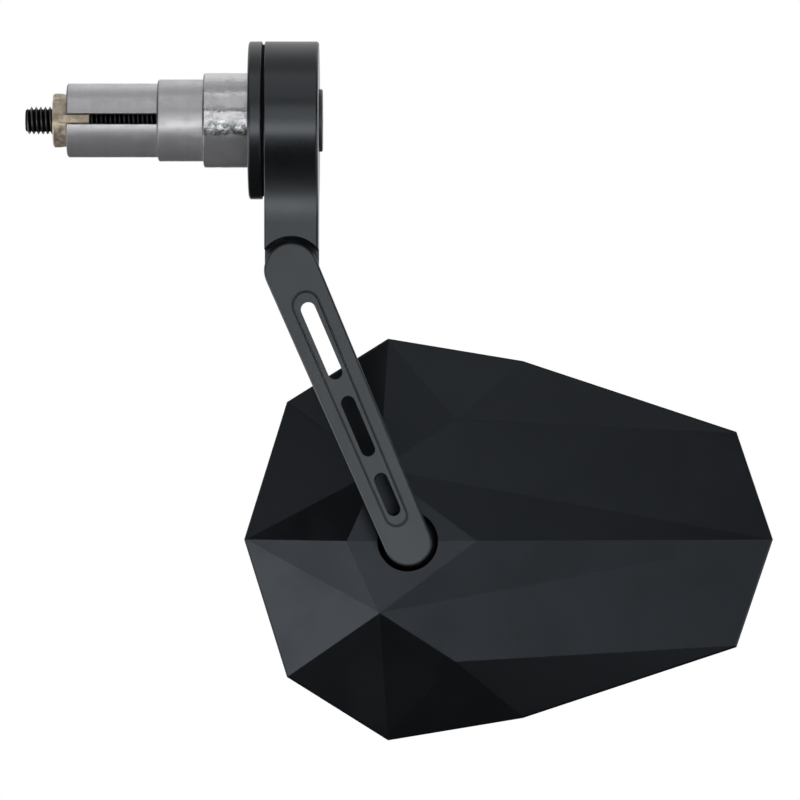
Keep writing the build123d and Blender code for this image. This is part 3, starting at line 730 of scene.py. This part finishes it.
def light_card(name, azimuth, elevation, distance, wide, tall, brightness):
    """Soft rectangular lamp that faces the object, as many degrees wide and tall as it looks from there."""
    lamp = bpy.data.lights.new(name, "AREA")
    lamp.shape = "RECTANGLE"
    lamp.size = 2 * distance * tan(radians(wide / 2))
    lamp.size_y = 2 * distance * tan(radians(tall / 2))
    lamp.energy = brightness * pi * lamp.size * lamp.size_y
    card = bpy.data.objects.new(name, lamp)
    card.location = toward(azimuth, elevation, distance)
    card.rotation_mode = "QUATERNION"
    card.rotation_quaternion = (card.location - picture_middle).to_track_quat("Z", "Y")
    card.visible_camera = False
    bpy.context.scene.collection.objects.link(card)


def light_the_object():
    """Cards round the object: in front for the head's bright band, on the left for the bright facets."""
    light_card("front card", azimuth=4, elevation=-8, distance=0.9, wide=26, tall=22, brightness=1.2)
    light_card("upper front card", azimuth=4, elevation=14, distance=0.9, wide=26, tall=18, brightness=0.95)
    light_card("right strip", azimuth=24, elevation=0, distance=0.9, wide=14, tall=40, brightness=0.2)
    light_card("low card", azimuth=-20, elevation=-30, distance=0.76, wide=20, tall=20, brightness=0.85)
    light_card("low right card", azimuth=40, elevation=-52, distance=0.48, wide=26, tall=26, brightness=0.5)
    light_card("left card", azimuth=-62, elevation=-14, distance=0.9, wide=24, tall=24, brightness=1.4)
    light_card("low left card", azimuth=-62, elevation=-40, distance=0.59, wide=26, tall=26, brightness=1.5)
    light_card("upper left card", azimuth=-62, elevation=8, distance=0.9, wide=22, tall=18, brightness=0.45)
    light_card("overhead card", azimuth=0, elevation=50, distance=0.9, wide=70, tall=40, brightness=0.47)
    light_card("top card", azimuth=0, elevation=88, distance=0.9, wide=50, tall=50, brightness=0.28)


# The studio's backdrop, floor and flag
def background_share(tree):
    """1 for the rays that see the plain background: camera, glossy and transmission rays."""
    path = add_node(tree, "ShaderNodeLightPath")
    first = math_node(tree, "MAXIMUM", path.outputs["Is Camera Ray"], path.outputs["Is Glossy Ray"])
    return math_node(tree, "MAXIMUM", first, path.outputs["Is Transmission Ray"])


def studio_world():
    """White to the camera and low behind the object, grey above it and black on the camera's side."""
    world = bpy.data.worlds.new("studio")
    world.use_nodes = True
    tree = world.node_tree
    way = separate_axes(tree, "Generated")
    grey = mix_colour(tree, rising(tree, way["Z"], sky_from, sky_to), white, sky_grey)
    sky = mix_colour(tree, rising(tree, way["Z"], overhead_from, overhead_to), grey, overhead_grey)
    studio = mix_colour(tree, rising(tree, way["Y"], behind_from, behind_to), black, sky)
    path = add_node(tree, "ShaderNodeLightPath")
    seen = mix_colour(tree, path.outputs["Is Camera Ray"], studio, white)
    tree.links.new(seen, tree.nodes["Background"].inputs["Color"])
    bpy.context.scene.world = world


def stage_plane(name, x_low, x_high, y_low, y_high, height, material):
    """Flat sheet of the studio, which isn't part of the object."""
    data = bpy.data.meshes.new(name)
    sides = ((x_low, y_low), (x_high, y_low), (x_high, y_high), (x_low, y_high))
    data.from_pydata([(x, y, height) for x, y in sides], [], [(0, 1, 2, 3)])
    data.materials.append(material)
    sheet = bpy.data.objects.new(name, data)
    bpy.context.scene.collection.objects.link(sheet)
    return sheet


def pale_floor():
    """Pale floor that shows white and still keeps the object's shadow."""
    material, tree, shader = new_material("pale floor", floor_grey, 0.9)
    shader.inputs["Specular IOR Level"].default_value = 0.0
    glow = add_node(tree, "ShaderNodeEmission", {"Strength": floor_glow})
    glowing = add_node(tree, "ShaderNodeAddShader")
    tree.links.new(shader.outputs[0], glowing.inputs[0])
    tree.links.new(glow.outputs[0], glowing.inputs[1])
    choice = add_node(tree, "ShaderNodeMixShader")
    tree.links.new(background_share(tree), choice.inputs["Fac"])
    tree.links.new(shader.outputs[0], choice.inputs[1])
    tree.links.new(glowing.outputs[0], choice.inputs[2])
    tree.links.new(choice.outputs[0], tree.nodes["Material Output"].inputs["Surface"])
    half = floor_width / 2
    stage_plane("pale_floor", -half, half, -half, half, floor_height, material)


def dark_flag():
    """Dark card under the object, out of sight, for its dark lower facets; it fades to white all round."""
    material, tree, shader = new_material("flag black", flag_black, 1.0)
    shader.inputs["Specular IOR Level"].default_value = 0.0
    shader.inputs["Emission Strength"].default_value = 1.0
    place = separate_axes(tree, "Object")
    left, right = picture_middle.x - flag_half_width, picture_middle.x + flag_half_width
    borders = []
    for side, low, high in (("X", left, right), ("Y", flag_front, flag_back)):
        near = falling(tree, place[side], low, low + flag_fade)
        far = rising(tree, place[side], high - flag_fade, high)
        borders.append(math_node(tree, "MAXIMUM", near, far))
    border = math_node(tree, "MAXIMUM", borders[0], borders[1])
    tree.links.new(mix_colour(tree, border, flag_glow, white), shader.inputs["Emission Color"])
    flag = stage_plane("dark_flag", left, right, flag_front, flag_back, flag_height, material)
    flag.visible_camera = False
    flag.visible_diffuse = False
    flag.visible_shadow = False


def set_camera():
    """Camera on the photograph's line of sight, as far away as its perspective says."""
    data = bpy.data.cameras.new("camera")
    data.sensor_width = sensor_width
    data.lens = sensor_width * camera_distance * pixels_per_metre / picture_width
    data.clip_start = 0.01
    data.clip_end = 20.0
    camera = bpy.data.objects.new("camera", data)
    camera.location = picture_middle - Vector((0.0, camera_distance, 0.0))
    camera.rotation_euler = (radians(90), 0.0, 0.0)
    bpy.context.scene.collection.objects.link(camera)
    bpy.context.scene.camera = camera


dress_cad_nodes()
threaded_bolt()
set_camera()
light_the_object()
studio_world()
pale_floor()
dark_flag()
bpy.context.scene.view_settings.view_transform = "Standard"
